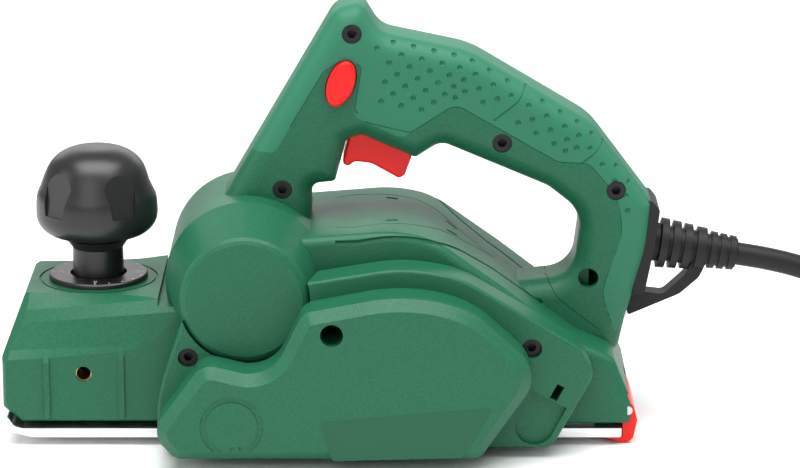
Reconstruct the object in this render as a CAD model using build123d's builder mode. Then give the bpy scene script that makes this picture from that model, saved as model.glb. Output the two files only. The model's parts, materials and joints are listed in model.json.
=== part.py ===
"""An electric hand planer: a motor, a belt and a cutter drum in a shell with a loop handle.

Frame: millimetres, +X towards the rear where the cord leaves, -Y the belt cover's side, +Z up. The origin is
at the foot of the part's bounding box, so z = 0 is the surface that the parking rest stands on.
Outlines of the side view are given from the middle of the sole, at the sole's level: x to the rear, z up.
"""

import math
import os

from build123d import *

os.makedirs("parts", exist_ok=True)

# ---- the frame and the sole
SOLE_X = -24.5  # the middle of the sole lies ahead of the part's own middle
SOLE_Z = 3.7  # how high the parking rest holds the sole
PLANING_WIDTH = 82.0
HALF_WIDTH = PLANING_WIDTH / 2
SOLE_FRONT = -134.0
SOLE_REAR = 131.5
SOLE_THICKNESS = 4.0
THROAT_FRONT = -50.0
THROAT_REAR = -18.0

# ---- shafts, bearings and belt
DRUM_X, DRUM_Z = -34.0, 23.0
CUT_RADIUS = 23.0
DRUM_RADIUS = 22.0
DRUM_HALF = 40.0
CHAMBER_RADIUS = 24.6
MOTOR_X, MOTOR_Z = 42.0, 38.0
SHAFT_RADIUS = 3.97
BEARING_BORE = 4.0
BEARING_RADIUS = 10.98
BEARING_WIDTH = 7.0
PLATE_RADIUS = 15.0  # the round ends of the bearing plate
DRUM_PULLEY_RADIUS = 9.5
MOTOR_PULLEY_RADIUS = 6.5
PULLEY_NEAR, PULLEY_FAR = -71.0, -60.0
BELT_GAP = 0.3
BELT_THICKNESS = 1.5

# ---- shell, cover and duct
SHELL_HALF = 40.5
SHELL_WALL = 3.0
HANDLE_HALF = 17.0
HANDLE_ROUND = 9.0
SKIN_THICKNESS = 3.0
COVER_BACK = -41.4
FLANGE_Y = -58.0
COVER_Y = -78.5
COVER_CHAMFER = 4.5
COVER_WALL = 3.0
DUCT_X, DUCT_Z = -29.0, 66.0
DUCT_RADIUS = 35.0
DUCT_END_RADIUS = 26.5
OUTLET_BORE = 19.0
OUTLET_RADIUS = 21.5
OUTLET_END = 78.5

# ---- depth knob
KNOB_X = -95.0
BLOCK_TOP = 60.0
BLOCK_BOTTOM = 6.0
KNOB_RADIUS = 26.3
STEM_RADIUS = 11.0
SCALE_RADIUS = 21.5
SPINDLE_RADIUS = 4.95
SPINDLE_BORE = 5.0
FINGER_FLATS = 5
FIRST_FLAT = 31  # degrees from -Y towards +X
FLAT_BOTTOM = 91.5
FLAT_DEPTH_RADIUS = 25.0  # from the knob's axis to a flat's lower edge
FLAT_TILT = math.radians(13)

# ---- cord
CORD_RADIUS = 5.0
CORD_SLOPE = 8.5  # degrees below level where the cord leaves
BOOT_X, BOOT_Z = 146.0, 76.0
BOOT_LENGTH = 37.0
COIL_X, COIL_Y = 298.0, 71.0
COIL_MID = 56.0
COIL_TURNS_A_LAYER = 3
COIL_LAYERS = 2
CORD_ROUTE = [
    (182.6, 70.5), (207.3, 66.8), (229.8, 55.9), (247.5, 38.8), (264.9, 22.4), (286.5, 12.6),
    (310.5, 10.0),
]
TAIL_ROUTE = [
    (229.5, 65, 1.5), (232.5, 30, 1.5), (244.5, 0, 1.5), (262.5, -24, 1.5), (287.5, -38, 3),
    (315.5, -42, 7.5),
]

SIDE = Plane(origin=(SOLE_X, 0, SOLE_Z), x_dir=(1, 0, 0), z_dir=(0, -1, 0))


# ---- drawing helpers
def side(y):
    """The side view's plane at y. A sketch on it extrudes towards -Y."""
    return SIDE.offset(-y)


def level(x, z, y=0.0):
    """A horizontal plane at a point given from the middle of the sole."""
    return Plane(origin=(SOLE_X + x, y, SOLE_Z + z))


def across(x, z=0.0):
    """An upright plane across the tool: its own x runs along +Y and its y up."""
    return Plane(origin=(SOLE_X + x, 0, SOLE_Z + z), x_dir=(0, 1, 0), z_dir=(1, 0, 0))


def outline(y, corners, inward=0.0):
    """A closed side view outline through corners of (x, z, radius), moved in by inward."""
    with BuildSketch(side(y)) as drawn:
        with BuildLine():
            FilletPolyline(
                *[(x, z) for x, z, _ in corners], radius=[r for _, _, r in corners], close=True
            )
        make_face()
        if inward:
            offset(amount=-inward, mode=Mode.REPLACE)
    return drawn.sketch


def slab(corners, y_from, y_to, mode=Mode.ADD, inward=0.0):
    """Extrude a side view outline from one y to a lower one."""
    extrude(outline(y_from, corners, inward), amount=y_from - y_to, mode=mode)


def rod(x, z, radius, y_from, y_to, mode=Mode.ADD):
    """A round bar or hole along Y, from one y to a lower one."""
    with BuildSketch(side(y_from)) as drawn:
        with Locations((x, z)):
            Circle(radius)
    extrude(drawn.sketch, amount=y_from - y_to, mode=mode)


def post(x, y, radius, z_from, z_to, mode=Mode.ADD):
    """A round bar or hole along Z."""
    with BuildSketch(level(x, z_from, y)) as drawn:
        Circle(radius)
    extrude(drawn.sketch, amount=z_to - z_from, mode=mode)


def block(x, y, z, mode=Mode.ADD):
    """A box between two limits each way, each given as (low, high)."""
    middle = level(sum(x) / 2, z[0], sum(y) / 2)
    with BuildSketch(middle) as drawn:
        Rectangle(x[1] - x[0], y[1] - y[0])
    extrude(drawn.sketch, amount=z[1] - z[0], mode=mode)


def turned(profile, plane, mode=Mode.ADD):
    """Revolve a profile of (along, radius) points round the plane's own x axis."""
    with BuildSketch(plane) as drawn:
        with BuildLine():
            Polyline(*profile, close=True)
        make_face()
    revolve(drawn.sketch, axis=Axis(plane.origin, plane.x_dir), mode=mode)


def save(node, name):
    """Label a finished piece and write its file."""
    node.part.label = name
    export_step(node.part, f"parts/{name}.step")


# ---- outlines of the side view
BODY = [
    (-30, 5, 2), (-30, 86, 4), (33, 91, 60), (50, 88, 40), (80, 66.5, 30),
    (112, 42, 30), (128, 35, 8), (130.5, 28, 6), (136, 15, 6), (136, 5, 2),
]
MOTOR_BAY = [
    (10, 9, 4), (10, 84, 6), (33, 87, 50), (49, 84, 36), (79, 62.5, 28), (108, 40, 20), (124, 31, 6),
    (124, 9, 4),
]
HANDLE = [
    (-56.4, 70, 2), (8.5, 181, 9), (20, 184, 5), (28, 171, 12), (66, 163, 40), (118, 132, 30),
    (145, 96, 2), (143, 76, 60), (134, 44, 3), (131, 30, 3), (60, 30, 3), (-30, 50, 3),
]
LOOP = [
    (-2.5, 72, 2), (-1.5, 104.5, 4), (8.5, 105.5, 1.5), (13.5, 124, 2.5), (20, 126, 2), (43, 116, 2),
    (54, 123, 7), (100, 103.5, 14), (114.5, 92, 14), (111, 63.5, 13), (88, 61, 8), (60, 60, 2),
]
HANDLE_BAY = [
    (-28.4, 110, 3), (2, 161.8, 5), (28, 163, 8), (66, 157.5, 30), (115.5, 128, 26), (138, 97, 3),
    (138.5, 78, 20), (131.5, 52, 4), (118, 52, 4), (118.5, 93, 16), (101.5, 108, 15), (54, 127.5, 7),
    (44, 122, 2), (20, 131, 2), (10, 128, 3), (3, 110, 3),
]
SKIN = [
    (-70, 120, 1), (-17, 120, 3), (4, 155, 4), (12, 160.5, 4), (20, 158, 3), (16.5, 136, 4),
    (37, 126, 6), (60, 141, 7), (104, 115.5, 8), (117, 115, 6), (129, 101, 20), (132.5, 84, 30),
    (123, 58, 14), (129, 40, 2), (170, 40, 2), (170, 200, 2), (-70, 200, 2),
]
FLANGE = [
    (-66, 1, 7), (-67, 22, 60), (-52, 67, 5), (-20, 71, 4), (38, 80.5, 70), (62, 76, 45), (112, 45.5, 10),
    (119, 34, 8), (101, 1, 8),
]
RAISED = [
    (-58, 1.8, 6), (-68.5, 13, 10), (-46, 43.5, 9), (-18, 36.5, 16), (-4, 65.5, 7), (38, 73.5, 75),
    (66, 67, 45), (90, 45, 15), (92, 34, 14), (70, 1.8, 6),
]
TRIGGER = [
    (10.5, 109, 2), (13.8, 122, 1), (15.5, 131, 1), (39, 127, 1), (41.5, 116.2, 1.5), (38.5, 108, 1.6),
    (36, 106.4, 1.6), (24, 113.2, 8), (17, 114, 3),
]
REST = [
    (123, -0.5, 0.3), (132.1, -0.5, 0.3), (132.1, 5.4, 0.5), (129.6, 9, 1), (131, 14, 2),
    (136, 15, 2.5), (138.4, 7, 4), (136.6, -1.5, 2), (133, -3.7, 1),
]
LABEL = [(2.5, 19.5, 2), (76, 26, 2), (62.5, 3.5, 2), (8, 2.2, 2)]

COVER_SCREWS = [(92, 45), (-53, 41)]
COVER_WELL = (8, 57)
MARK_CENTRE = (-34, 17)
SHELL_SCREWS = [(16, 171.5), (80, 124), (129, 103), (-14, 103.5)]
REST_PIVOT = (134.2, 11.5)
GUIDE_HOLE = (-99, 28)
BUTTON_X, BUTTON_Z, BUTTON_TILT = 11.3, 150.3, 70
BUTTON_LENGTH, BUTTON_WIDTH = 20.5, 11.5


DUCT_PROFILE = [
    (-58, 0), (-58, 24.5), (-57.2, 26), (-56, 27.2), (-28, DUCT_RADIUS), (28, DUCT_RADIUS),
    (58, DUCT_END_RADIUS),
]


# ---- the shared cuts of the shell
def cut_duct_room():
    """The chip duct's own shape, taken out of a neighbour."""
    turned(DUCT_PROFILE + [(58, 0)], across(DUCT_X, DUCT_Z), Mode.SUBTRACT)


def cut_screw_holes():
    """Pilot holes and head wells of the screws that join the two halves."""
    for x, z in SHELL_SCREWS:
        rod(x, z, 2.0, 12, -14, Mode.SUBTRACT)
        rod(x, z, 4.2, -13.5, -40, Mode.SUBTRACT)


def cut_button_hole():
    """The oval window that the lock button slides in."""
    with BuildSketch(side(-9)) as window:
        with Locations(Location((BUTTON_X, BUTTON_Z), BUTTON_TILT)):
            Ellipse(BUTTON_LENGTH / 2 + 0.4, BUTTON_WIDTH / 2 + 0.4)
    extrude(window.sketch, amount=12, mode=Mode.SUBTRACT)


def cut_drum_room():
    """The round chamber in which the cutter drum turns."""
    rod(DRUM_X, DRUM_Z, CHAMBER_RADIUS, HALF_WIDTH + 1, -HALF_WIDTH - 1, Mode.SUBTRACT)


# ---- the shell: one solid first, then split into its two halves
with BuildPart() as handle_solid:
    slab(HANDLE, HANDLE_HALF, -HANDLE_HALF)
    slab(LOOP, HANDLE_HALF + 1, -HANDLE_HALF - 1, Mode.SUBTRACT)
    rims = handle_solid.faces().sort_by(Axis.Y)
    fillet(rims[0].edges() + rims[-1].edges(), HANDLE_ROUND)

with BuildPart() as body_solid:
    slab(BODY, SHELL_HALF, -SHELL_HALF)
    rims = body_solid.faces().sort_by(Axis.Y)
    upper = (rims[0].edges() + rims[-1].edges()).filter_by(lambda e: e.center().Z > SOLE_Z + 20)
    fillet(upper.filter_by(lambda e: e.center().X > SOLE_X - 20), 4)

with BuildPart() as grip_skin:
    add(handle_solid.part)
    slab(SKIN, HANDLE_HALF + 1, -HANDLE_HALF - 1, Mode.INTERSECT)
    slab(HANDLE, HANDLE_HALF - SKIN_THICKNESS, SKIN_THICKNESS - HANDLE_HALF, Mode.SUBTRACT, SKIN_THICKNESS)
    cut_duct_room()
    add(body_solid.part, mode=Mode.SUBTRACT)

with BuildPart() as shell:
    add(body_solid.part)
    add(handle_solid.part)
    slab(MOTOR_BAY, SHELL_HALF - SHELL_WALL, SHELL_WALL - SHELL_HALF, Mode.SUBTRACT)
    slab(HANDLE_BAY, 12.5, -12.5, Mode.SUBTRACT)
    cut_duct_room()
    cut_drum_room()
    block((12.9, 43.2), (-9.7, 9.7), (108, 133), Mode.SUBTRACT)
    slab([(x, z, 0.5) for x, z in [(-48, 20), (-48, 66), (-10, 66), (-10, 20)]], 26, -26, Mode.SUBTRACT)
    block((126, 140), (-38.8, 2.8), (0, 18.5), Mode.SUBTRACT)
    rod(*REST_PIVOT, 2.0, 6, -SHELL_HALF + 0.5, Mode.SUBTRACT)
    cut_screw_holes()
    cut_button_hole()
    rod(MOTOR_X, MOTOR_Z, 5.0, -30, -42, Mode.SUBTRACT)
    add(grip_skin.part, mode=Mode.SUBTRACT)
    with BuildSketch(side(SHELL_HALF + 1)) as vents:
        with Locations((MOTOR_X - 6, MOTOR_Z + 4)):
            with GridLocations(0, 8, 1, 5):
                SlotOverall(44, 3.6)
    extrude(vents.sketch, amount=SHELL_WALL + 2, mode=Mode.SUBTRACT)
    rod(MOTOR_X, MOTOR_Z, 12.5, SHELL_HALF - SHELL_WALL, 31.5)
    rod(MOTOR_X, MOTOR_Z, 9.5, SHELL_HALF - SHELL_WALL, 31.4, Mode.SUBTRACT)

with BuildPart() as drilled_skin:
    add(grip_skin.part)
    cut_screw_holes()
    cut_button_hole()
save(drilled_skin, "grip_skin")

with BuildPart() as housing_left:
    add(shell.part)
    split(bisect_by=Plane.XZ, keep=Keep.TOP)
save(housing_left, "housing_left")

with BuildPart() as housing_right:
    add(shell.part)
    split(bisect_by=Plane.XZ, keep=Keep.BOTTOM)
save(housing_right, "housing_right")

# ---- the front block, the adjustable shoe under it and the depth knob on it
INSERT_SPANS = ((38, 26), (-26, -38))
CROWN_REAR = -67.0
REAR_LEDGE_Z = 57.5
PANEL_DEPTH = 1.2
SIDE_PANELS = ((-136, -116), (-113.6, -84), (-81.6, -40))
BLOCK_SIDE = [
    (-126, BLOCK_BOTTOM, 1), (-134, 12.8, 2), (-134, 35, 4), (-124.5, BLOCK_TOP, 2.5), (-50, BLOCK_TOP, 1),
    (-50, BLOCK_BOTTOM, 1),
]


def ledge_line(x):
    """The height of the ledge's lower edge at x."""
    return 32.2 + (x + 138) * (56.7 - 32.2) / 90


def block_section(x, shoulder, ledge, crown):
    """The front block's section at x: side walls, a ledge and a slope up to the top plate."""
    with BuildSketch(across(x)) as drawn:
        with BuildLine():
            Polyline(
                (-HALF_WIDTH, 0), (-HALF_WIDTH, shoulder), (-36.5, ledge), (-24, crown),
                (24, crown), (36.5, ledge), (HALF_WIDTH, shoulder), (HALF_WIDTH, 0), close=True,
            )
        make_face()
    return drawn.sketch


with BuildPart() as front_block:
    slab(BLOCK_SIDE, HALF_WIDTH, -HALF_WIDTH)
    rims = front_block.faces().sort_by(Axis.Y)
    corners = (rims[0].edges() + rims[-1].edges()).filter_by(lambda e: e.center().X < SOLE_X - 128)
    fillet(corners.filter_by(lambda e: e.center().Z < SOLE_Z + 55), 5)
    sections = [block_section(-138, 32.5, 37.5, 61), block_section(-48, 57, 62, 62)]
    add(loft(sections, ruled=True, mode=Mode.PRIVATE), mode=Mode.INTERSECT)
    for turn in (-1, 1):
        facing = Vector(-0.662, 0.53 * turn, 0.529)
        slanted_corner = level(-128.7, 49, 31.2 * turn).origin
        split(bisect_by=Plane(origin=slanted_corner - facing * 1.6, z_dir=facing), keep=Keep.BOTTOM)
    block((CROWN_REAR, -48), (-HALF_WIDTH - 1, HALF_WIDTH + 1), (REAR_LEDGE_Z, 70), Mode.SUBTRACT)
    for front, rear in SIDE_PANELS:
        panel = [
            (front, BLOCK_BOTTOM - 1, 0.3), (front, ledge_line(front), 0.3),
            (rear, ledge_line(rear), 0.3), (rear, BLOCK_BOTTOM - 1, 0.3),
        ]
        slab(panel, -HALF_WIDTH + PANEL_DEPTH, -HALF_WIDTH - 1, Mode.SUBTRACT)
        slab(panel, HALF_WIDTH + 1, HALF_WIDTH - PANEL_DEPTH, Mode.SUBTRACT)
    block((-122, -70), (-25, 25), (0, 53), Mode.SUBTRACT)
    cut_duct_room()
    cut_drum_room()
    post(KNOB_X, 0, 6, 50, BLOCK_TOP + 2, Mode.SUBTRACT)
    post(KNOB_X, 0, 25.8, BLOCK_TOP - 0.6, BLOCK_TOP + 1, Mode.SUBTRACT)
    post(KNOB_X, 0, 24.8, BLOCK_TOP - 0.7, BLOCK_TOP)
    post(KNOB_X, 0, 6, 50, BLOCK_TOP + 2, Mode.SUBTRACT)
    rod(*GUIDE_HOLE, 3.4, HALF_WIDTH + 1, -HALF_WIDTH - 1, Mode.SUBTRACT)
    for y in INSERT_SPANS:
        rod(*GUIDE_HOLE, 5.0, *y, Mode.SUBTRACT)
save(front_block, "front_block")

with BuildPart() as guide_inserts:
    for y in INSERT_SPANS:
        rod(*GUIDE_HOLE, 5.0, *y)
        rod(*GUIDE_HOLE, 3.0, *y, Mode.SUBTRACT)
save(guide_inserts, "guide_inserts")

with BuildPart() as scale_ring:
    post(KNOB_X, 0, SCALE_RADIUS, BLOCK_TOP, BLOCK_TOP + 2.3)
    chamfer(scale_ring.faces().sort_by(Axis.Z)[-1].edges(), 0.6)
    post(KNOB_X, 0, 12.3, BLOCK_TOP - 1, BLOCK_TOP + 3, Mode.SUBTRACT)
save(scale_ring, "scale_ring")

SHOE_SIDE = [
    (-122, 0, 14), (-132, 3, 2.5), (-134, 8.4, 0.8), (-131.8, 8.9, 0.8), (-129.4, 5.2, 2), (-126, 4, 4),
    (THROAT_FRONT, 4, 0.5), (THROAT_FRONT, 0, 0.5),
]
with BuildPart() as front_shoe:
    slab(SHOE_SIDE, HALF_WIDTH, -HALF_WIDTH)
    post(KNOB_X, 0, 10, 3, 30)
    post(KNOB_X, 0, SPINDLE_BORE, 2, 31, Mode.SUBTRACT)
    with BuildSketch(across(SOLE_FRONT - 1)) as groove:
        with BuildLine():
            Polyline((-2, -0.5), (2, -0.5), (0, 1.8), close=True)
        make_face()
    extrude(groove.sketch, amount=90, mode=Mode.SUBTRACT)
save(front_shoe, "front_shoe")

with BuildPart() as knob_stem:
    turned([(0.4, 0), (0.4, STEM_RADIUS), (14, STEM_RADIUS), (18.2, 14), (18.2, 0)],
           Plane(origin=(SOLE_X + KNOB_X, 0, SOLE_Z + BLOCK_TOP), x_dir=(0, 0, 1), z_dir=(0, -1, 0)))
    post(KNOB_X, 0, SPINDLE_BORE, BLOCK_TOP - 1, BLOCK_TOP + 12, Mode.SUBTRACT)
save(knob_stem, "knob_stem")

with BuildPart() as knob_cap:
    with BuildSketch(Plane(origin=(SOLE_X + KNOB_X, 0, SOLE_Z), x_dir=(1, 0, 0), z_dir=(0, -1, 0))) as dome:
        with BuildLine():
            Line((0, 78.4), (0, 118.5))
            Spline((0, 118.5), (10, 117.8), (19, 112.5), (24.5, 101), (KNOB_RADIUS, 90),
                   tangents=((1, 0), (0, -1)))
            ThreePointArc((KNOB_RADIUS, 90), (24.2, 83.6), (18.5, 80.2))
            Line((18.5, 80.2), (13, 78.4))
            Line((13, 78.4), (0, 78.4))
        make_face()
    revolve(dome.sketch, axis=Axis((SOLE_X + KNOB_X, 0, 0), (0, 0, 1)))
    for i in range(FINGER_FLATS):
        bearing_angle = math.radians(FIRST_FLAT + 360 / FINGER_FLATS * i)
        outward = Vector(math.sin(bearing_angle), -math.cos(bearing_angle), 0)
        seat = Vector(SOLE_X + KNOB_X, 0, SOLE_Z + FLAT_BOTTOM) + outward * FLAT_DEPTH_RADIUS
        tilted = outward * math.cos(FLAT_TILT) + Vector(0, 0, math.sin(FLAT_TILT))
        flat_plane = Plane(origin=seat, x_dir=Vector(0, 0, 1).cross(outward), z_dir=tilted)
        with BuildSketch(flat_plane) as flat:
            with BuildLine():
                Polyline((-5.2, 0), (5.2, 0), (8.4, 21), (-8.4, 21), close=True)
            make_face()
        extrude(flat.sketch, amount=8, mode=Mode.SUBTRACT)
save(knob_cap, "knob_cap")

with BuildPart() as knob_spindle:
    post(KNOB_X, 0, SPINDLE_RADIUS, 9, BLOCK_TOP + 12)
save(knob_spindle, "knob_spindle")

# ---- the sole, the chip duct and the bearing brackets
with BuildPart() as base_frame:
    slab([(THROAT_REAR, 0, 0.3), (SOLE_REAR, 0, 1), (SOLE_REAR, SOLE_THICKNESS, 0.3),
          (THROAT_REAR + 1, SOLE_THICKNESS, 0.3)], HALF_WIDTH, -HALF_WIDTH)
    for y in (-32, 32):
        block((0, 120), (y - 1.5, y + 1.5), (3, 5))
save(base_frame, "base_frame")

with BuildPart() as chip_duct:
    turned(
        DUCT_PROFILE + [(58, OUTLET_RADIUS), (OUTLET_END, OUTLET_RADIUS), (OUTLET_END, 0)],
        across(DUCT_X, DUCT_Z),
    )
    rod(DUCT_X, DUCT_Z, OUTLET_BORE, OUTLET_END + 1, 40, Mode.SUBTRACT)
    rod(DUCT_X, DUCT_Z, OUTLET_BORE - 0.5, 41, -30, Mode.SUBTRACT)
    cut_drum_room()
    block((-44, -14), (-25.5, 25.5), (20, 62), Mode.SUBTRACT)
save(chip_duct, "chip_duct")


def two_rounds(x, z, radius, x2, z2, radius2, y_from, y_to, mode=Mode.ADD):
    """A plate or band outline round two circles, extruded along Y."""
    with BuildSketch(side(y_from)) as drawn:
        with Locations((x, z)):
            Circle(radius)
        with Locations((x2, z2)):
            Circle(radius2)
        make_hull()
    extrude(drawn.sketch, amount=y_from - y_to, mode=mode)


PLATE_NEAR = -SHELL_HALF - 0.2 - BEARING_WIDTH
with BuildPart() as bearing_plate:
    two_rounds(DRUM_X, DRUM_Z, PLATE_RADIUS, MOTOR_X, MOTOR_Z, PLATE_RADIUS, -41.6, PLATE_NEAR)
    rod(DRUM_X, DRUM_Z, BEARING_RADIUS + 0.02, -40, PLATE_NEAR - 1, Mode.SUBTRACT)
    rod(MOTOR_X, MOTOR_Z, BEARING_RADIUS + 0.02, -40, PLATE_NEAR - 1, Mode.SUBTRACT)
    cut_duct_room()
save(bearing_plate, "bearing_plate")

with BuildPart() as bearing_cap:
    rod(DRUM_X, DRUM_Z, 17, 51, 41.6)
    fillet(bearing_cap.faces().sort_by(Axis.Y)[-1].edges(), 2.5)
    slab([(-56, 8, 3), (-58, 36, 4), (-46, 44, 4), (-20, 44, 4), (-8, 36, 4), (-12, 8, 3)], 44.5, 41.6)
    rod(DRUM_X, DRUM_Z, BEARING_RADIUS + 0.02, 48.2, 41, Mode.SUBTRACT)
    cut_duct_room()
save(bearing_cap, "bearing_cap")


def bearing(x, z, y_from, outer=BEARING_RADIUS):
    """A ball bearing as one ring with its shields' shallow recesses."""
    rod(x, z, outer, y_from, y_from - BEARING_WIDTH + 0.4)
    rod(x, z, BEARING_BORE, y_from + 1, y_from - BEARING_WIDTH - 1, Mode.SUBTRACT)


with BuildPart() as drum_bearings:
    bearing(DRUM_X, DRUM_Z, -41)
    bearing(DRUM_X, DRUM_Z, 48)
save(drum_bearings, "drum_bearings")

with BuildPart() as motor_bearings:
    bearing(MOTOR_X, MOTOR_Z, -41)
    rod(MOTOR_X, MOTOR_Z, 9.45, 37.4, 31.5)
    rod(MOTOR_X, MOTOR_Z, BEARING_BORE, 38, 31, Mode.SUBTRACT)
save(motor_bearings, "motor_bearings")

# ---- the cutter drum
BLADE_BACK = 17.0
with BuildPart() as cutter_drum:
    rod(DRUM_X, DRUM_Z, DRUM_RADIUS, DRUM_HALF, -DRUM_HALF)
    rod(DRUM_X, DRUM_Z, SHAFT_RADIUS, DRUM_HALF + 1, -DRUM_HALF - 1, Mode.SUBTRACT)
    for turn in (1, -1):
        x = (DRUM_X + 13.5 * turn, DRUM_X + 23 * turn)
        z = (DRUM_Z - 5 * turn, DRUM_Z + 1.3 * turn)
        block(sorted(x), (-DRUM_HALF - 1, DRUM_HALF + 1), sorted(z), Mode.SUBTRACT)
save(cutter_drum, "cutter_drum")

with BuildPart() as drum_blades:
    for turn in (1, -1):
        x = (DRUM_X + BLADE_BACK * turn, DRUM_X + CUT_RADIUS * turn)
        z = (DRUM_Z + 0.1 * turn, DRUM_Z + 1.2 * turn)
        block(sorted(x), (-DRUM_HALF, DRUM_HALF), sorted(z))
save(drum_blades, "drum_blades")

with BuildPart() as blade_clamps:
    for turn in (1, -1):
        x = (DRUM_X + 13.7 * turn, DRUM_X + 21.2 * turn)
        z = (DRUM_Z - 4.9 * turn, DRUM_Z + 0.0 * turn)
        block(sorted(x), (-DRUM_HALF + 0.5, DRUM_HALF - 0.5), sorted(z))
    for turn in (1, -1):
        for y in (-26, 0, 26):
            with BuildSketch(across(DRUM_X + 22 * turn, DRUM_Z - 2.5 * turn)) as seat:
                with Locations((y, 0)):
                    Circle(1.8)
            extrude(seat.sketch, amount=-5 * turn, mode=Mode.SUBTRACT)
save(blade_clamps, "blade_clamps")

with BuildPart() as blade_screws:
    for turn in (1, -1):
        for y in (-26, 0, 26):
            with BuildSketch(across(DRUM_X + 20.4 * turn, DRUM_Z - 2.5 * turn)) as screw:
                with Locations((y, 0)):
                    Circle(1.75)
            extrude(screw.sketch, amount=-3 * turn)
save(blade_screws, "blade_screws")

with BuildPart() as drum_shaft:
    rod(DRUM_X, DRUM_Z, SHAFT_RADIUS, 47.8, PULLEY_NEAR - 1)
save(drum_shaft, "drum_shaft")


def pulley(x, z, radius, name):
    """A ribbed pulley, pressed on its shaft."""
    grooves = 5
    pitch = (PULLEY_FAR - PULLEY_NEAR) / grooves
    profile = [(PULLEY_NEAR, 0)]
    for i in range(grooves):
        start = PULLEY_NEAR + i * pitch
        profile += [(start + 0.01, radius), (start + pitch / 2, radius - 0.8)]
    profile += [(PULLEY_FAR, radius), (PULLEY_FAR, 0)]
    with BuildPart() as wheel:
        turned(profile, across(x, z))
        rod(x, z, SHAFT_RADIUS, PULLEY_FAR + 1, PULLEY_NEAR - 1, Mode.SUBTRACT)
    save(wheel, name)


pulley(DRUM_X, DRUM_Z, DRUM_PULLEY_RADIUS, "drum_pulley")
pulley(MOTOR_X, MOTOR_Z, MOTOR_PULLEY_RADIUS, "motor_pulley")

with BuildPart() as drive_belt:
    inner = BELT_GAP
    outer = BELT_GAP + BELT_THICKNESS
    two_rounds(DRUM_X, DRUM_Z, DRUM_PULLEY_RADIUS + outer, MOTOR_X, MOTOR_Z, MOTOR_PULLEY_RADIUS + outer,
               PULLEY_FAR - 0.8, PULLEY_NEAR + 0.8)
    two_rounds(DRUM_X, DRUM_Z, DRUM_PULLEY_RADIUS + inner, MOTOR_X, MOTOR_Z, MOTOR_PULLEY_RADIUS + inner,
               PULLEY_FAR, PULLEY_NEAR, Mode.SUBTRACT)
save(drive_belt, "drive_belt")

# ---- the motor
with BuildPart() as armature_shaft:
    rod(MOTOR_X, MOTOR_Z, SHAFT_RADIUS, 37, PULLEY_NEAR - 1)
save(armature_shaft, "armature_shaft")

with BuildPart() as armature_core:
    rod(MOTOR_X, MOTOR_Z, 18.5, 15, -15)
    with BuildSketch(side(16)) as slots:
        with Locations((MOTOR_X, MOTOR_Z)):
            with PolarLocations(17, 12):
                Rectangle(5, 2)
    extrude(slots.sketch, amount=32, mode=Mode.SUBTRACT)
    rod(MOTOR_X, MOTOR_Z, SHAFT_RADIUS, 16, -16, Mode.SUBTRACT)
save(armature_core, "armature_core")

with BuildPart() as commutator:
    rod(MOTOR_X, MOTOR_Z, 9.5, 30, 20)
    rod(MOTOR_X, MOTOR_Z, SHAFT_RADIUS, 31, 19, Mode.SUBTRACT)
save(commutator, "commutator")

with BuildPart() as fan:
    rod(MOTOR_X, MOTOR_Z, 8, -25, -36)
    rod(MOTOR_X, MOTOR_Z, 27, -34.5, -36)
    with BuildSketch(side(-26)) as vanes:
        with Locations((MOTOR_X, MOTOR_Z)):
            with PolarLocations(17, 11):
                Rectangle(19, 1.6)
    extrude(vanes.sketch, amount=9)
    rod(MOTOR_X, MOTOR_Z, SHAFT_RADIUS, -24, -37, Mode.SUBTRACT)
save(fan, "fan")

with BuildPart() as motor_stator:
    rod(MOTOR_X, MOTOR_Z, 28, 15, -15)
    rod(MOTOR_X, MOTOR_Z, 19.2, 16, -16, Mode.SUBTRACT)
save(motor_stator, "motor_stator")

with BuildPart() as stator_coils:
    for start in (19.5, -15.2):
        rod(MOTOR_X, MOTOR_Z, 27, start, start - 4.2)
        rod(MOTOR_X, MOTOR_Z, 20.2, start + 1, start - 5, Mode.SUBTRACT)
save(stator_coils, "stator_coils")

with BuildPart() as brush_holders:
    for turn in (-1, 1):
        x = sorted((MOTOR_X + 13 * turn, MOTOR_X + 27 * turn))
        block(x, (20.5, 30.5), (MOTOR_Z - 5.5, MOTOR_Z + 5.5))
        block((x[0] - 1, x[1] + 1), (22, 29), (MOTOR_Z - 4, MOTOR_Z + 4), Mode.SUBTRACT)
save(brush_holders, "brush_holders")

with BuildPart() as carbon_brushes:
    for turn in (-1, 1):
        x = sorted((MOTOR_X + 9.9 * turn, MOTOR_X + 24 * turn))
        block(x, (22.1, 28.9), (MOTOR_Z - 3.9, MOTOR_Z + 3.9))
save(carbon_brushes, "carbon_brushes")

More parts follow.
